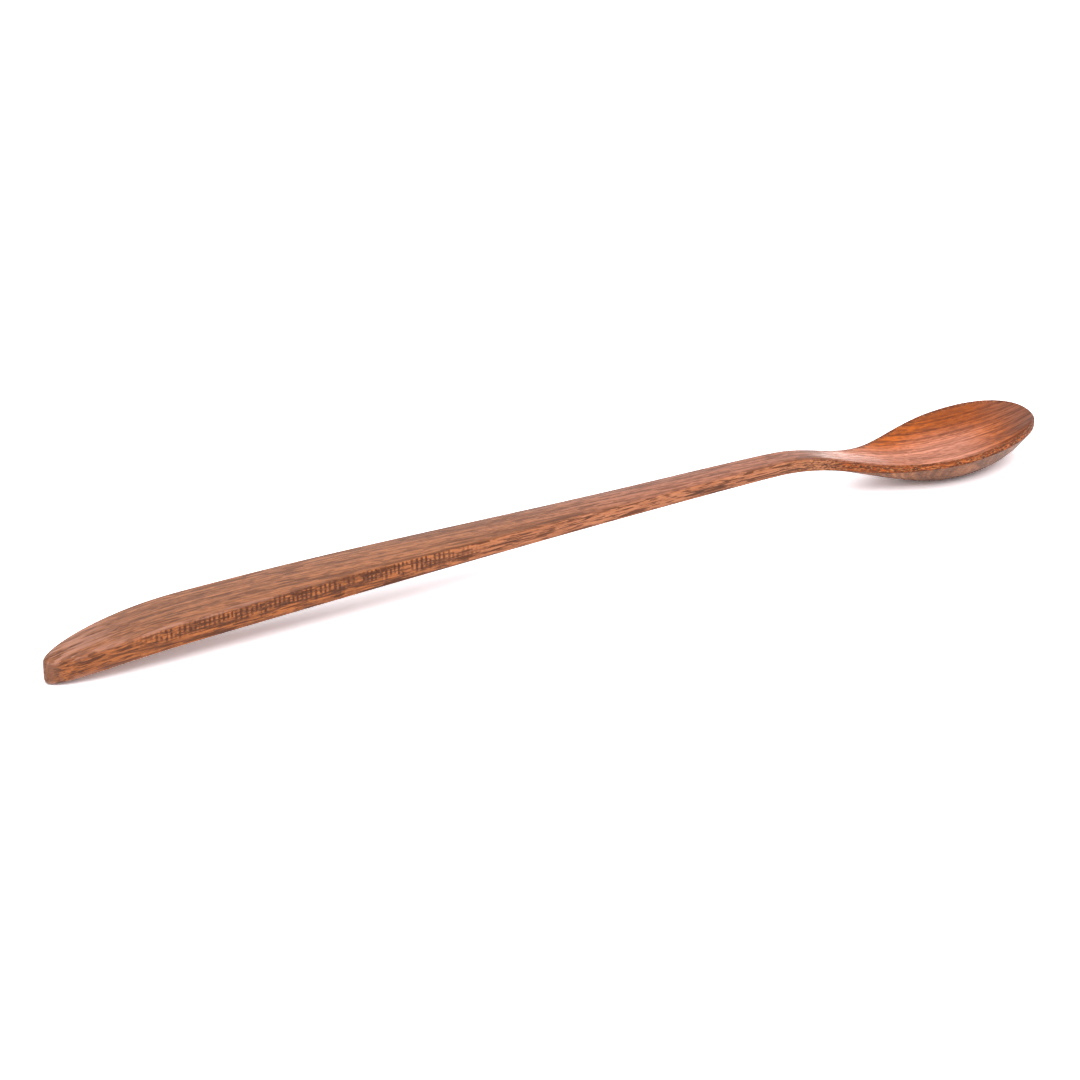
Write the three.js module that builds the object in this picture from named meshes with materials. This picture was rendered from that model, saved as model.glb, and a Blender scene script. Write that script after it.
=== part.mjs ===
// Flat juice spoon: one long, slender spoon carved from a single board of straight-grained wood.
// Millimetres, +Z up. +X runs along the grain from the handle's end to the bowl's tip, and Y runs across.
// The origin lies on the table, below the middle of the spoon's length.

import * as THREE from 'three';
import { mergeVertices } from 'three/addons/utils/BufferGeometryUtils.js';

// The outline, seen from above
const HANDLE_LENGTH = 231.5; // from the handle's end to the neck
const HANDLE_WIDTH = 15.6; // where the rounded end stops and the taper starts
const ROUND_END_LENGTH = 43; // half oval at the handle's end
const NECK_WIDTH = 6.2;
const BOWL_LENGTH = 68.5; // from the neck to the bowl's tip
const BOWL_WIDTH = 28.3;
const BOWL_NOSE_LENGTH = 25; // from the bowl's widest place to its tip
const BOWL_NOSE_FULLNESS = 2.2; // 2 is an ellipse, and more is blunter

// The handle, seen from the side
const ARCH_HEIGHT = 12.7; // table to the handle's underside at the crest
const CREST_TO_NECK = 13.5;
const ARCH_EASE = 1.4; // 1 is a straight ramp up to the crest, and more is rounder
const END_DROP = 4.6; // how far the handle's end bends down to the table
const END_DROP_LENGTH = 40;
const HANDLE_THICKNESS = 7.5;
const NECK_THICKNESS = 4.8;
const THICK_STRETCH = 55; // from the handle's end, at full thickness
const SLENDER_STRETCH = 51.5; // before the neck, at the neck's thickness
const HANDLE_CROWN = 0.3; // the handle's top is sanded slightly round
const EDGE_RADIUS = 1;

// The bowl, seen from the side
const RIM_DIP_HEIGHT = 10.3; // table to the lowest place of the rim
const RIM_DIP_TO_TIP = 47;
const RIM_TIP_HEIGHT = 13.7;
const RIM_BAND = 2.2; // upright sawn face left all round the bowl
const RIM_LAND = 0.3; // flat top of the rim, inside its rounded edge
const RIM_EDGE_RADIUS = 0.35;
const BAND_TO_TIP = 37; // the handle's side has narrowed to the rim band here
const BELLY_TO_TIP = 28; // from the deepest place to the tip, inside and outside
const FLOOR_THICKNESS = 3;
const BELLY_FLAT_DEPTH = 0.5; // sanded off the round belly, so that the spoon stands still

// How round the bowl's curves are: 2 is a parabola, and more is flatter in the middle and steeper outside
const BELLY_ACROSS = 2.6;
const BELLY_TO_NOSE = 2.7;
const HOLLOW_ACROSS = 2.6;
const HOLLOW_TO_NOSE = 2.3;

// The wood
const WOOD_COLOUR = 0xb57552;
const WOOD_ROUGHNESS = 0.55;

// How much of a wall its rounded edge, and the flat strip beside that, may take at most
const EDGE_SHARE = 0.7;
const LAND_SHARE = 0.2;

// How finely the surface is laid out
const STATIONS = 76;
const NORMAL_STEP = 0.1; // of the way to the next station
const TOP_SHARES = [0, 0.2, 0.4, 0.6, 0.76, 0.9, 1];
const UNDERSIDE_SHARES = [0, 0.15, 0.3, 0.45, 0.6, 0.76, 0.9];
const TOP_EDGE_ANGLES = [90, 60, 30, 0];
const LOWER_EDGE_ANGLES = [0, 45, 90];

// Places along the spoon, measured from the handle's end
const tip = HANDLE_LENGTH + BOWL_LENGTH;
const crest = HANDLE_LENGTH - CREST_TO_NECK;
const slenderStart = HANDLE_LENGTH - SLENDER_STRETCH;
const rimDip = tip - RIM_DIP_TO_TIP;
const bandStart = tip - BAND_TO_TIP;
const belly = tip - BELLY_TO_TIP;
const widest = tip - BOWL_NOSE_LENGTH;

const lerp = THREE.MathUtils.lerp;
const ease = THREE.MathUtils.smoothstep;

// A smooth S between two heights, level at both ends
function between(place, start, end, from, to) {
  return lerp(from, to, ease(place, start, end));
}

// Half of the outline's width
const taper = (NECK_WIDTH - HANDLE_WIDTH) / 2 / (HANDLE_LENGTH - ROUND_END_LENGTH);

function halfWidth(place) {
  if (place < HANDLE_LENGTH) {
    const straight = NECK_WIDTH / 2 + taper * (place - HANDLE_LENGTH);
    const left = Math.max(0, 1 - place / ROUND_END_LENGTH);
    return straight * Math.sqrt(1 - left * left);
  }
  if (place < widest) {
    const shoulder = widest - HANDLE_LENGTH;
    const u = (place - HANDLE_LENGTH) / shoulder;
    const swelling = lerp(NECK_WIDTH / 2, BOWL_WIDTH / 2, u * u * (3 - 2 * u));
    return swelling + taper * shoulder * u * (1 - u) * (1 - u);
  }
  const u = Math.min(1, (place - widest) / BOWL_NOSE_LENGTH);
  return (BOWL_WIDTH / 2) * (1 - u ** BOWL_NOSE_FULLNESS) ** (1 / BOWL_NOSE_FULLNESS);
}

// Rounded edges, limited by the walls that they round and by the tight turn at the handle's end
const endTurn = halfWidth(ROUND_END_LENGTH) ** 2 / ROUND_END_LENGTH;
const handleRoom = EDGE_SHARE * Math.min(NECK_WIDTH / 2, NECK_THICKNESS / 2, endTurn);
const handleRadius = Math.min(EDGE_RADIUS, handleRoom);
const handleLand = Math.min(RIM_LAND, LAND_SHARE * endTurn);
const rimRadius = Math.min(RIM_EDGE_RADIUS, (EDGE_SHARE * RIM_BAND) / 2);

function edgeRadius(place) {
  return between(place, crest, bandStart, handleRadius, rimRadius);
}

function rimLand(place) {
  return between(place, crest, bandStart, handleLand, RIM_LAND);
}

// The handle's underside: a ramp up to the crest, and an end that bends down to the table
const endSlope = (2 * END_DROP) / END_DROP_LENGTH + (ARCH_EASE * (ARCH_HEIGHT - END_DROP)) / crest;
const endLift = handleRadius * (1 + endSlope - Math.hypot(1, endSlope));

function handleUnderside(place) {
  const dropLeft = Math.max(0, 1 - place / END_DROP_LENGTH);
  const rampLeft = Math.max(0, 1 - place / crest);
  const ramp = (ARCH_HEIGHT - END_DROP) * (1 - rampLeft ** ARCH_EASE);
  return END_DROP * (1 - dropLeft * dropLeft) + ramp - endLift * dropLeft;
}

function thickness(place) {
  return between(place, THICK_STRETCH, slenderStart, HANDLE_THICKNESS, NECK_THICKNESS);
}

// The top edge all along the spoon: the handle's, then the rim's
const crestTop = ARCH_HEIGHT + NECK_THICKNESS;

function rimHeight(place) {
  if (place < crest) {
    return handleUnderside(place) + thickness(place);
  }
  if (place < rimDip) {
    return between(place, crest, rimDip, crestTop, RIM_DIP_HEIGHT);
  }
  return between(place, rimDip, tip, RIM_DIP_HEIGHT, RIM_TIP_HEIGHT);
}

function sideHeight(place) {
  return between(place, crest, bandStart, thickness(place), RIM_BAND);
}

// The middle line of the underside, and of the top with its hollow
function bellyHeight(place) {
  if (place < crest) {
    return handleUnderside(place);
  }
  if (place < belly) {
    return between(place, crest, belly, ARCH_HEIGHT, -BELLY_FLAT_DEPTH);
  }
  const u = (place - belly) / BELLY_TO_TIP;
  return lerp(-BELLY_FLAT_DEPTH, RIM_TIP_HEIGHT - RIM_BAND, u ** BELLY_TO_NOSE);
}

function floorHeight(place) {
  if (place < crest) {
    return rimHeight(place) + between(place, slenderStart, crest, HANDLE_CROWN, 0);
  }
  if (place < belly) {
    return between(place, crest, belly, crestTop, FLOOR_THICKNESS);
  }
  const u = (place - belly) / (BELLY_TO_TIP - RIM_LAND - rimRadius);
  return lerp(FLOOR_THICKNESS, rimHeight(place), Math.min(1, u) ** HOLLOW_TO_NOSE);
}

function topHeight(place, share) {
  return lerp(floorHeight(place), rimHeight(place), share ** HOLLOW_ACROSS);
}

function undersideHeight(place, share) {
  const lowerEdge = rimHeight(place) - sideHeight(place);
  const height = lerp(bellyHeight(place), lowerEdge, share ** BELLY_ACROSS);
  return Math.max(0, height);
}

// A point of the outline and its inward direction, with the stations set close together at both ends
function outlinePoint(share) {
  const place = (tip * (1 - Math.cos(Math.PI * share))) / 2;
  return new THREE.Vector2(place, halfWidth(place));
}

function inwardNormal(share) {
  if (share === 0 || share === 1) {
    return new THREE.Vector2(share === 0 ? 1 : -1, 0);
  }
  const step = NORMAL_STEP / STATIONS;
  const along = outlinePoint(share + step).sub(outlinePoint(share - step)).normalize();
  return new THREE.Vector2(along.y, -along.x);
}

// One cross section on the +Y side, from the middle of the top round to the middle of the underside
function halfSection(share) {
  const edge = outlinePoint(share);
  const inward = inwardNormal(share);
  const radius = edgeRadius(edge.x);
  const inset = (distance) => edge.clone().addScaledVector(inward, distance);
  const hollowEdge = inset(radius + rimLand(edge.x));
  const lowerEdge = inset(radius);
  const points = [];
  for (const across of TOP_SHARES) {
    const height = topHeight(hollowEdge.x, across);
    points.push(new THREE.Vector3(hollowEdge.x, hollowEdge.y * across, height));
  }
  for (const angle of TOP_EDGE_ANGLES) {
    const turn = THREE.MathUtils.degToRad(angle);
    const place = inset(radius * (1 - Math.cos(turn)));
    const height = rimHeight(place.x) - radius * (1 - Math.sin(turn));
    points.push(new THREE.Vector3(place.x, place.y, height));
  }
  for (const angle of LOWER_EDGE_ANGLES) {
    const turn = THREE.MathUtils.degToRad(angle);
    const place = inset(radius * (1 - Math.cos(turn)));
    const lift = radius * (1 - Math.sin(turn));
    points.push(new THREE.Vector3(place.x, place.y, undersideHeight(place.x, 1) + lift));
  }
  for (const across of UNDERSIDE_SHARES.toReversed()) {
    const height = undersideHeight(lowerEdge.x, across);
    points.push(new THREE.Vector3(lowerEdge.x, lowerEdge.y * across, height));
  }
  return points;
}

// The whole cross section: the +Y half and its mirror image
function ring(share) {
  const half = halfSection(share);
  const mirrored = half.slice(1, -1).reverse();
  return [...half, ...mirrored.map((point) => new THREE.Vector3(point.x, -point.y, point.z))];
}

// A skin over all the cross sections, closed where both ends run out to a point
function carvedSkin() {
  const rings = [];
  for (let station = 0; station <= STATIONS; station += 1) {
    rings.push(ring(station / STATIONS));
  }
  const corners = [];
  const addTriangle = (...points) => {
    for (const point of points) {
      corners.push(point.x - tip / 2, point.y, point.z);
    }
  };
  for (let station = 0; station < STATIONS; station += 1) {
    const here = rings[station];
    const next = rings[station + 1];
    for (let corner = 0; corner < here.length; corner += 1) {
      const following = (corner + 1) % here.length;
      if (corner < here.length / 2) {
        addTriangle(here[corner], next[corner], next[following]);
        addTriangle(here[corner], next[following], here[following]);
      } else {
        addTriangle(here[corner], next[corner], here[following]);
        addTriangle(next[corner], next[following], here[following]);
      }
    }
  }
  const loose = new THREE.BufferGeometry();
  loose.setAttribute('position', new THREE.Float32BufferAttribute(corners, 3));
  return withoutSlivers(mergeVertices(loose));
}

// Triangles that shrank to a line at the two ends are left out
function withoutSlivers(skin) {
  const whole = [];
  const index = skin.getIndex();
  for (let first = 0; first < index.count; first += 3) {
    const [a, b, c] = [index.getX(first), index.getX(first + 1), index.getX(first + 2)];
    if (a !== b && b !== c && c !== a) {
      whole.push(a, b, c);
    }
  }
  skin.setIndex(whole);
  skin.computeVertexNormals();
  return skin;
}

const wood = new THREE.MeshStandardMaterial({ color: WOOD_COLOUR, roughness: WOOD_ROUGHNESS, metalness: 0 });
const spoonBody = new THREE.Mesh(carvedSkin(), wood);
spoonBody.name = 'spoon_body';

const spoon = new THREE.Group();
spoon.add(spoonBody);

export default spoon;
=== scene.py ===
"""A flat juice spoon: one long, slender spoon carved from a single board of reddish-brown wood."""

import math

import bpy
import numpy as np
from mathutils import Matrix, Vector


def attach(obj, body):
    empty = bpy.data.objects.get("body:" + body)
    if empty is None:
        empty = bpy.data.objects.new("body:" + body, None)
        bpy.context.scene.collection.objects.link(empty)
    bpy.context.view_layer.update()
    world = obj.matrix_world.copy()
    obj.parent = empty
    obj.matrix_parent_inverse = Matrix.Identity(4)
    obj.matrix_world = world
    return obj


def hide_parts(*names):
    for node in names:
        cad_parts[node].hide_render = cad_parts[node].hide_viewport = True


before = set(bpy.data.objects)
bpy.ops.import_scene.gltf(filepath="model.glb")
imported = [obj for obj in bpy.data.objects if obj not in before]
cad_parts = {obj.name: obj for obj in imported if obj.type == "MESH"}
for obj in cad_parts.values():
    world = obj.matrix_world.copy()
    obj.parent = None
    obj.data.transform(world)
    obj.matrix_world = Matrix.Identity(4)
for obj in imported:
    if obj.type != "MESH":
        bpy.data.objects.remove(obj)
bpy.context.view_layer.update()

MM = 0.001

# The camera, seen from the spoon: turned towards the handle's end and raised above the table
CAMERA_TURN = math.radians(24.69)
CAMERA_RISE = math.radians(30.63)
CAMERA_DISTANCE = 1106.8 * MM
CAMERA_AIM = Vector((-4.86, 2.24, 6.96)) * MM
CAMERA_LENS = 133.33

# The light: a pale room, a wide lamp overhead, a soft lamp high in front and a low panel behind the bowl
ROOM_LIGHT = 0.59
OVERHEAD_POWER = 20.5
OVERHEAD_SIZE = 2.6
OVERHEAD_PLACE = Vector((0.0, -0.25, 1.35))
LAMP_POWER = 8.5
LAMP_SIZE = 0.7
LAMP_PLACE = Vector((-0.02, -0.52, 1.06))
PANEL_POWER = 0.34
PANEL_SIZE = 0.10
PANEL_PLACE = Vector((0.69, 0.65, 0.222))

# The floor, and its colour in the light it throws back, in the wood's sheen and to the camera
FLOOR_SIZE = 6.0
FLOOR_DROP = 0.1 * MM
FLOOR_SHADE = (0.87, 0.87, 0.87, 1)
FLOOR_SHEEN = (0.75, 0.75, 0.75, 1)
FLOOR_WHITE = (1.62, 1.59, 1.66, 1)

# The wood: a dark and a light colour for each part of the board, with painted light and shade in some of
# them
HANDLE_DARK = (0.160, 0.053, 0.019, 1)
HANDLE_LIGHT = (0.386, 0.140, 0.056, 1)
NECK_DARK = (0.148, 0.050, 0.023, 1)
NECK_LIGHT = (0.392, 0.147, 0.085, 1)
SAWN_DARK = (0.168, 0.045, 0.011, 1)
SAWN_LIGHT = (0.500, 0.148, 0.035, 1)
PALE_SIDE_DARK = (0.370, 0.120, 0.047, 1)
PALE_SIDE_LIGHT = (0.535, 0.196, 0.088, 1)
RIM_DARK = (0.110, 0.020, 0.002, 1)
RIM_LIGHT = (0.545, 0.106, 0.006, 1)
WALL_DARK = (0.150, 0.026, 0.0014, 1)
WALL_LIGHT = (0.650, 0.146, 0.006, 1)
# The inside of the bowl's tip: the wood's colour, darker as painted shade, with a greyish painted sheen
TIP_SHADE_AND_SHEEN_DARK = (0.105, 0.026, 0.008, 1)
TIP_SHADE_AND_SHEEN_LIGHT = (0.300, 0.100, 0.050, 1)
# The floor of the hollow: the wood's paler layers, lightened further as painted light
BOWL_DARK = (0.330, 0.115, 0.063, 1)
BOWL_LIGHT = (0.710, 0.300, 0.200, 1)
BELLY_DARK = (0.155, 0.053, 0.024, 1)
BELLY_LIGHT = (0.550, 0.206, 0.092, 1)
WORN = (0.450, 0.206, 0.137, 1)
END_GRAIN = (0.212, 0.084, 0.043, 1)
PORE = (0.059, 0.013, 0.0025, 1)
SAW_MARK = (0.081, 0.016, 0.0019, 1)
PALE_GRAIN = (0.640, 0.240, 0.075, 1)

# How the grain and the saw marks lie in the board, with lengths in millimetres
GRAIN_RUN_OUT = 0.04
GRAIN_WANDER = 3.0
HOLLOW_GRAIN_TILT = 0.7
SADDLE_HEIGHT = 14.2
SAW_PITCH = 1.35

# Two dark streaks in millimetres: start and end along the spoon, height and slope of each
HANDLE_STREAK = (-135, -106, 8.1, 0.0)
HOLLOW_STREAK = (116.5, 126, 8.9, -0.145)
STREAK_FADE = 2
STREAK_HALF_WIDTH = (0.08, 0.38)

# The oil finish
SATIN_ROUGHNESS = 0.23
SAWN_ROUGHNESS = 0.32
PORE_ROUGHNESS = 0.15
OIL_IOR = 1.45
RELIEF_STRENGTH = 0.5
RELIEF_DEPTH = 0.15 * MM

# Places along the spoon, in millimetres from its middle: where each change begins and where it is complete
END_CUT = (-149, -145)
ROUNDED_END = (-147, -116)
SAW_MARKS_START = (-131, -117)
EDGE_WEAR_STOP = (-105, -60)
PALE_SIDE_START = (-65, 0)
SAW_MARKS_STOP = (-42, -20)
NECK_START = (-15, 70)
DARK_STREAKS_START = (-10, 50)
ROUGH_RIM_START = (60, 84)
BOWL_START = (80, 90)
# Painted shade: where the hollow's walls and its nose turn darker, facing away from the light
SHADED_WALL_START = (110, 130)
SHADED_NOSE_START = (128, 144)
TIP_SHADE_START = (136, 148)

# Patches of noise: their lengths in millimetres, along, across and through the board
WANDER = (70, 22, 22)
BANDS = (160, 3.2, 1.6)
LINES = (90, 0.72, 0.6)
SPECKS = (2.2, 0.65, 0.6)
PORES = (12, 1.5, 1.0)
DASHES = (18, 1.4, 0.8)
VEINS = (130, 3.0, 1.4)
VEIN_STRETCHES = (26, 5, 2.5)
FINE_MARKS = (4, 0.6, 0.45)
SAW_WOBBLE = (5, 9, 40)
SAW_PATCHES = (2.6, 9, 2.6)
SAW_RUNGS = (6, 9, 0.9)
SAW_REACH = (3.2, 9, 40)
FLECKS = (1.4, 1.0, 0.5)
PALE_FLECKS = (0.9, 0.8, 0.4)
RUBBED = (12, 1.3, 1.3)

# The carved surface
SMOOTHING_STEPS = 2
SAME_POINT = 0.001 * MM
SHARP_EDGE = 1 * MM
COLUMN_WIDTH = 1 * MM


class Shade:
    """One output of a node, so that shader maths can be written as plain expressions."""

    def __init__(self, tree, socket):
        self.tree = tree
        self.socket = socket

    def node(self, kind, settings=None, inputs=None, output=0):
        """Adds a node: its settings first, then the values or links of its sockets."""
        made = self.tree.nodes.new(kind)
        for name, value in (settings or {}).items():
            setattr(made, name, value)
        for name, value in (inputs or {}).items():
            if isinstance(value, Shade):
                self.tree.links.new(value.socket, made.inputs[name])
            else:
                made.inputs[name].default_value = value
        return Shade(self.tree, made.outputs[output])

    def maths(self, operation, other=0.0):
        return self.node("ShaderNodeMath", {"operation": operation}, {0: self, 1: other})

    def __add__(self, other):
        return self.maths("ADD", other)

    def __sub__(self, other):
        return self.maths("SUBTRACT", other)

    def __mul__(self, other):
        return self.maths("MULTIPLY", other)

    def __rsub__(self, other):
        return self * -1.0 + other

    __radd__ = __add__
    __rmul__ = __mul__

    def between(self, low, high):
        """0 below low, 1 above high, and a smooth step from one to the other."""
        limits = {"Value": self, "From Min": low, "From Max": high, "To Min": 0.0, "To Max": 1.0}
        return self.node("ShaderNodeMapRange", {"interpolation_type": "SMOOTHSTEP"}, limits)

    def mix(self, first, second):
        """first where this value is 0, and second where it is 1: two colours."""
        sockets = {"Factor": self, 6: first, 7: second}
        return self.node("ShaderNodeMix", {"data_type": "RGBA"}, sockets, 2)


def new_material(name):
    """An empty material, its output node and the piece's own coordinates."""
    material = bpy.data.materials.new(name)
    material.use_nodes = True
    tree = material.node_tree
    tree.nodes.clear()
    output = tree.nodes.new("ShaderNodeOutputMaterial")
    coordinates = tree.nodes.new("ShaderNodeTexCoord")
    return material, output, Shade(tree, coordinates.outputs["Object"])


def carve_spoon():
    """A copy of the solid, with its facets smoothed into a hand-sanded surface."""
    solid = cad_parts["spoon_body"]
    bpy.ops.object.select_all(action="DESELECT")
    spoon = bpy.data.objects.new("carved_spoon", solid.data.copy())
    bpy.context.scene.collection.objects.link(spoon)
    spoon.select_set(True)
    bpy.context.view_layer.objects.active = spoon
    bpy.ops.mesh.customdata_custom_splitnormals_clear()
    bpy.ops.object.mode_set(mode="EDIT")
    bpy.ops.mesh.select_all(action="SELECT")
    bpy.ops.mesh.remove_doubles(threshold=SAME_POINT)
    bpy.ops.mesh.tris_convert_to_quads(face_threshold=math.pi, shape_threshold=math.pi)
    bpy.ops.object.mode_set(mode="OBJECT")
    sanding = spoon.modifiers.new("sanding", "SUBSURF")
    sanding.levels = SMOOTHING_STEPS
    sanding.render_levels = SMOOTHING_STEPS
    bpy.ops.object.modifier_apply(modifier=sanding.name)
    bpy.ops.object.shade_smooth()
    return spoon


def read_points(mesh, what):
    values = np.zeros(len(mesh.vertices) * 3)
    mesh.vertices.foreach_get(what, values)
    return values.reshape(-1, 3)


def write_points(mesh, name, values):
    mesh.attributes.new(name, "FLOAT", "POINT").data.foreach_set("value", values)


def mark_surface(spoon):
    """Writes on each point how far it faces up, how far it lies below the top and how sharply it bends."""
    mesh = spoon.data
    places = read_points(mesh, "co")
    normals = read_points(mesh, "normal")
    write_points(mesh, "lean", normals[:, 2])

    column = np.round(places[:, 0] / COLUMN_WIDTH).astype(int)
    numbers = np.unique(column)
    tops = [places[column == number, 2].max() for number in numbers]
    top = np.interp(places[:, 0], numbers * COLUMN_WIDTH, tops)
    write_points(mesh, "drop", (top - places[:, 2]) / MM)

    ends = np.zeros(len(mesh.edges) * 2, int)
    mesh.edges.foreach_get("vertices", ends)
    start, end = ends.reshape(-1, 2).T
    step = places[end] - places[start]
    turn = normals[end] - normals[start]
    bend = (step * turn).sum(1) / (step * step).sum(1)
    sharpest = np.zeros(len(places))
    np.maximum.at(sharpest, start, bend)
    np.maximum.at(sharpest, end, bend)
    write_points(mesh, "edge", np.clip(sharpest * SHARP_EDGE, 0, 1))


def stretched(place, lengths, detail=2, shift=0.0):
    """Noise from 0 to 1 in patches of these lengths along x, y and z. A shift picks another part of it."""
    shorter = tuple(1 / length for length in lengths)
    scaled = place.node("ShaderNodeVectorMath", {"operation": "MULTIPLY"}, {0: place, 1: shorter})
    moved = place.node("ShaderNodeVectorMath", {"operation": "ADD"}, {0: scaled, 1: (shift, shift, shift)})
    return place.node("ShaderNodeTexNoise", None, {"Vector": moved, "Scale": 1.0, "Detail": detail})


def dark_streak(along, up, start, end, height, slope):
    """1 on a thin line in the wood, from start to end along the spoon, at this height and slope."""
    off_line = (up - (along - start) * slope - height).maths("ABSOLUTE")
    within = along.between(start, start + STREAK_FADE) * (1 - along.between(end - STREAK_FADE, end))
    return (1 - off_line.between(*STREAK_HALF_WIDTH)) * within


def surface_mark(place, name):
    """A value that mark_surface wrote on the points."""
    return place.node("ShaderNodeAttribute", {"attribute_name": name}, None, "Fac")


def oiled_wood():
    """Straight-grained wood with pores, sawn sides, worn edges and a satin oil finish, with painted light
    and shade in the bowl and along the handle's edges.
    """
    material, output, coordinates = new_material("oiled_wood")
    to_millimetres = {0: coordinates, "Scale": 1 / MM}
    place = coordinates.node("ShaderNodeVectorMath", {"operation": "SCALE"}, to_millimetres)
    along, across, up = [place.node("ShaderNodeSeparateXYZ", None, {0: place}, axis) for axis in "XYZ"]
    lean = surface_mark(place, "lean")
    drop = surface_mark(place, "drop")
    edge = surface_mark(place, "edge")

    # Which part of the spoon a point lies on
    bowl = along.between(*BOWL_START)
    side = 1 - lean.maths("ABSOLUTE").between(0.52 - bowl * 0.22, 0.68 - bowl * 0.22)
    inside = bowl * (1 - side)
    under = (lean * -1).between(0.3, 0.5)
    handle_end = 1 - along.between(*ROUNDED_END)
    end_cut = 1 - along.between(*END_CUT)
    rough_rim = along.between(*ROUGH_RIM_START) * side.maths("MAXIMUM", edge * bowl)

    # Growth layers, which run along the board and come out as rings in the hollow
    wander = stretched(place, WANDER, detail=1)
    run_out = across + along * GRAIN_RUN_OUT + (wander - 0.5) * GRAIN_WANDER
    run_out = run_out + (up - SADDLE_HEIGHT) * inside * HOLLOW_GRAIN_TILT
    depth = drop * (1 - inside)
    grain = place.node("ShaderNodeCombineXYZ", None, {0: along, 1: run_out, 2: depth})
    bands = stretched(grain, BANDS, detail=2).between(0.36, 0.64)
    lines = stretched(grain, LINES, detail=1, shift=3.0).between(0.43, 0.57)
    specks = stretched(grain, SPECKS, detail=1, shift=37.0).between(0.36, 0.64)
    tone = 0.07 + bands * 0.13 + lines * 0.50 + specks * 0.29

    # The colour of each part of the board
    handle = tone.mix(HANDLE_DARK, HANDLE_LIGHT)
    neck = tone.mix(NECK_DARK, NECK_LIGHT)
    sanded = (along + wander * 60).between(*NECK_START).mix(handle, neck)
    # Painted shade: the rounded edges a little darker
    sanded = (edge * 0.2).mix(sanded, HANDLE_DARK)
    pale_side = tone.mix(PALE_SIDE_DARK, PALE_SIDE_LIGHT)
    sawn = along.between(*PALE_SIDE_START).mix(tone.mix(SAWN_DARK, SAWN_LIGHT), pale_side)
    walls = across.maths("ABSOLUTE").between(2, 8) * (up + (wander - 0.5) * 3).between(3.5, 9.5)
    # Painted shade: the nose of the hollow takes the darker wall colours
    wall_or_shaded_nose = walls.maths("MAXIMUM", along.between(*SHADED_NOSE_START))
    # The hollow's floor takes the paler bowl colours, partly the wood's layers and partly painted light;
    # its walls take the darker wall colours
    hollow = wall_or_shaded_nose.mix(tone.mix(BOWL_DARK, BOWL_LIGHT), tone.mix(WALL_DARK, WALL_LIGHT))
    # Painted shade: the walls darken further towards the tip
    hollow = (walls * along.between(*SHADED_WALL_START) * 0.5).mix(hollow, WALL_DARK)
    # Painted shade and a greyish painted sheen on the inside of the bowl's tip
    hollow = along.between(*TIP_SHADE_START).mix(hollow, tone.mix(TIP_SHADE_AND_SHEEN_DARK, TIP_SHADE_AND_SHEEN_LIGHT))
    cup = under.mix(hollow, tone.mix(BELLY_DARK, BELLY_LIGHT))
    cup = side.mix(cup, tone.mix(RIM_DARK, RIM_LIGHT))
    colour = bowl.mix(side.mix(sanded, sawn), cup)

    # Pores, dashes, veins and fine marks, all stronger on the sawn sides, and the two streaks
    pores = stretched(grain, PORES, detail=1, shift=7.0).between(0.63, 0.65) * (1 - bowl * 0.3)
    dashes = stretched(grain, DASHES, detail=1, shift=19.0).between(0.64, 0.66) * (1 - bowl * 0.6)
    off_vein = (stretched(grain, VEINS, detail=1, shift=31.0) - 0.5).maths("ABSOLUTE")
    veins = 1 - off_vein.between(0.008, 0.028)
    shown = stretched(grain, VEIN_STRETCHES, detail=1, shift=11.0).between(0.46, 0.54)
    streaks = veins * (0.3 + shown * 0.7) * (1 - bowl * 0.65)
    streak_strength = 0.65 + side.maths("MAXIMUM", along.between(*DARK_STREAKS_START)) * 0.25
    fine = stretched(grain, FINE_MARKS, detail=1, shift=41.0).between(0.56, 0.60) * (1 - bowl * 0.2)
    found = dark_streak(along, up, *HANDLE_STREAK) * side
    found = found + dark_streak(along, up, *HOLLOW_STREAK) * across.between(0, 1) * 0.6
    darker = (pores * (0.55 + side * 0.25)).maths("MAXIMUM", dashes * (0.55 + side * 0.35))
    darker = darker.maths("MAXIMUM", streaks * streak_strength)
    darker = darker.maths("MAXIMUM", found * 0.7)
    darker = darker.maths("MAXIMUM", fine * (0.4 + side * 0.3))
    colour = darker.mix(colour, PORE)

    # Saw marks, high on the handle's sides
    wobble = stretched(place, SAW_WOBBLE, detail=1, shift=5.0)
    teeth = (along * (math.tau / SAW_PITCH) + wobble * 9).maths("SINE").between(-0.35, 0.35)
    patches = stretched(place, SAW_PATCHES, detail=1, shift=15.0).between(0.36, 0.46)
    rungs = stretched(place, SAW_RUNGS, detail=1, shift=9.0).between(0.55, 0.58)
    reach = (stretched(place, SAW_REACH, detail=1, shift=23.0) - 0.5) * 5
    barred = along.between(*SAW_MARKS_START) * (1 - along.between(*SAW_MARKS_STOP)) * side
    barred = barred * (1 - (drop + reach).between(3.6, 5.2))
    saw_marks = (teeth * patches).maths("MAXIMUM", rungs * 0.8) * barred
    colour = (saw_marks * 0.92).mix(colour, SAW_MARK)

    # The cut end, the rough rim, the dark lines along the bowl's edges and a painted shade along the
    # handle's far edge
    colour = (end_cut * side * 0.7).mix(colour, END_GRAIN)
    flecks = stretched(place, FLECKS, detail=2, shift=2.0).between(0.54, 0.57)
    fleck_strength = rough_rim * 0.9 + end_cut * 0.3 + under * bowl * 0.35
    colour = (flecks * fleck_strength).mix(colour, PORE)
    pale = stretched(place, PALE_FLECKS, detail=1, shift=45.0).between(0.57, 0.61)
    colour = (pale * (rough_rim * 0.6 + barred * 0.15)).mix(colour, PALE_GRAIN)
    colour = (edge * bowl * 0.5).mix(colour, RIM_DARK)
    # Painted shade along the handle's far upper edge
    colour = (edge * across.between(0, 2) * (1 - bowl) * 0.6).mix(colour, HANDLE_DARK)

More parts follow.
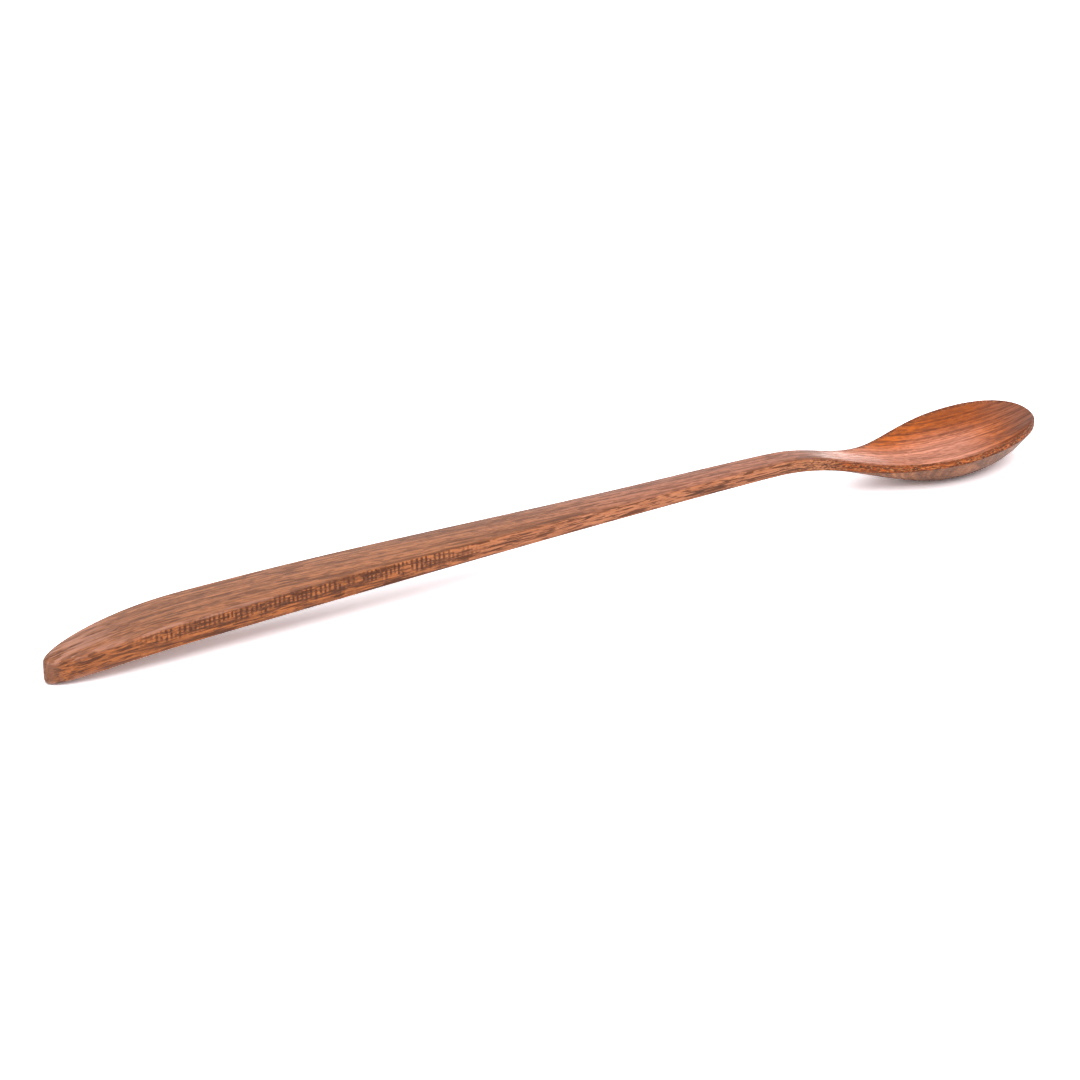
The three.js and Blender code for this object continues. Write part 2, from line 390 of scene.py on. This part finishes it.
    # Wear at the handle's end and along its upper edges
    rubbed = stretched(grain, RUBBED, detail=2, shift=27.0).between(0.45, 0.55)
    worn = rubbed * handle_end * (edge * 0.85).maths("MAXIMUM", 0.65 - side * 0.65)
    upper_edge = edge.between(0.5, 0.9) * lean.between(0, 0.3) * (1 - along.between(*EDGE_WEAR_STOP))
    edge_wear = upper_edge * (0.3 + rubbed * 0.7) * 0.6
    colour = worn.maths("MAXIMUM", edge_wear).mix(colour, WORN)

    # A satin finish on the sanded faces, rougher on the sawn sides, with the marks a little sunk
    roughness = SATIN_ROUGHNESS + side * SAWN_ROUGHNESS + pores * PORE_ROUGHNESS
    relief = lines * 0.3 - darker - saw_marks - flecks * rough_rim
    raised = {"Strength": RELIEF_STRENGTH, "Distance": RELIEF_DEPTH, "Height": relief}
    bump = relief.node("ShaderNodeBump", None, raised)
    finish = {"Base Color": colour, "Roughness": roughness, "IOR": OIL_IOR, "Normal": bump}
    wood = place.node("ShaderNodeBsdfPrincipled", None, finish)
    wood.tree.links.new(wood.socket, output.inputs["Surface"])
    return material


def pale_floor():
    """A white floor that keeps the spoon's shadow, is duller in the sheen and shows only from above."""
    bpy.ops.object.select_all(action="DESELECT")
    bpy.ops.mesh.primitive_plane_add(size=FLOOR_SIZE, location=(0, 0, -FLOOR_DROP))
    floor = bpy.context.active_object
    floor.name = "floor"
    material, output, start = new_material("floor_paint")
    seen = start.node("ShaderNodeLightPath", None, None, "Is Camera Ray")
    mirrored = start.node("ShaderNodeLightPath", None, None, "Is Glossy Ray")
    white = seen.mix(mirrored.mix(FLOOR_SHADE, FLOOR_SHEEN), FLOOR_WHITE)
    paint = start.node("ShaderNodeBsdfDiffuse", None, {"Color": white})
    below = start.node("ShaderNodeNewGeometry", None, None, "Backfacing")
    passed = start.node("ShaderNodeLightPath", None, None, "Transparent Depth")
    clear = start.node("ShaderNodeBsdfTransparent")
    hidden = below.maths("MAXIMUM", passed)
    surface = start.node("ShaderNodeMixShader", None, {0: hidden, 1: paint, 2: clear})
    surface.tree.links.new(surface.socket, output.inputs["Surface"])
    floor.data.materials.append(material)


def hang_lamp(name, place, size, power, mirrored):
    """A square soft lamp that doesn't show itself, and shows in the oil's sheen only if mirrored."""
    lamp = bpy.data.lights.new(name, "AREA")
    lamp.shape = "SQUARE"
    lamp.size = size
    lamp.energy = power
    holder = bpy.data.objects.new(name, lamp)
    holder.location = place
    holder.rotation_euler = (-place).to_track_quat("-Z", "Y").to_euler()
    holder.visible_camera = False
    holder.visible_glossy = mirrored
    bpy.context.scene.collection.objects.link(holder)


def light_room():
    """A pale room, which is white to the camera and in the sheen, and its lamps."""
    world = bpy.data.worlds.new("room")
    bpy.context.scene.world = world
    world.use_nodes = True
    tree = world.node_tree
    tree.nodes.clear()
    output = tree.nodes.new("ShaderNodeOutputWorld")
    path = tree.nodes.new("ShaderNodeLightPath")
    seen = Shade(tree, path.outputs["Is Camera Ray"])
    seen = seen.maths("MAXIMUM", Shade(tree, path.outputs["Is Glossy Ray"]))
    strength = seen * (1 - ROOM_LIGHT) + ROOM_LIGHT
    room = strength.node("ShaderNodeBackground", None, {"Color": (1, 1, 1, 1), "Strength": strength})
    tree.links.new(room.socket, output.inputs["Surface"])
    hang_lamp("overhead_lamp", OVERHEAD_PLACE, OVERHEAD_SIZE, OVERHEAD_POWER, False)
    hang_lamp("front_lamp", LAMP_PLACE, LAMP_SIZE, LAMP_POWER, False)
    hang_lamp("white_panel", PANEL_PLACE, PANEL_SIZE, PANEL_POWER, True)


def set_camera():
    camera = bpy.data.cameras.new("camera")
    camera.lens = CAMERA_LENS
    holder = bpy.data.objects.new("camera", camera)
    level = math.cos(CAMERA_RISE)
    back = Vector((-math.sin(CAMERA_TURN) * level, -math.cos(CAMERA_TURN) * level, math.sin(CAMERA_RISE)))
    holder.location = CAMERA_AIM + back * CAMERA_DISTANCE
    holder.rotation_euler = (-back).to_track_quat("-Z", "Y").to_euler()
    bpy.context.scene.collection.objects.link(holder)
    bpy.context.scene.camera = holder


bpy.context.scene.view_settings.view_transform = "Standard"
set_camera()
light_room()
pale_floor()
spoon = carve_spoon()
mark_surface(spoon)
spoon.data.materials.clear()
spoon.data.materials.append(oiled_wood())
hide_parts("spoon_body")
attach(spoon, "root")
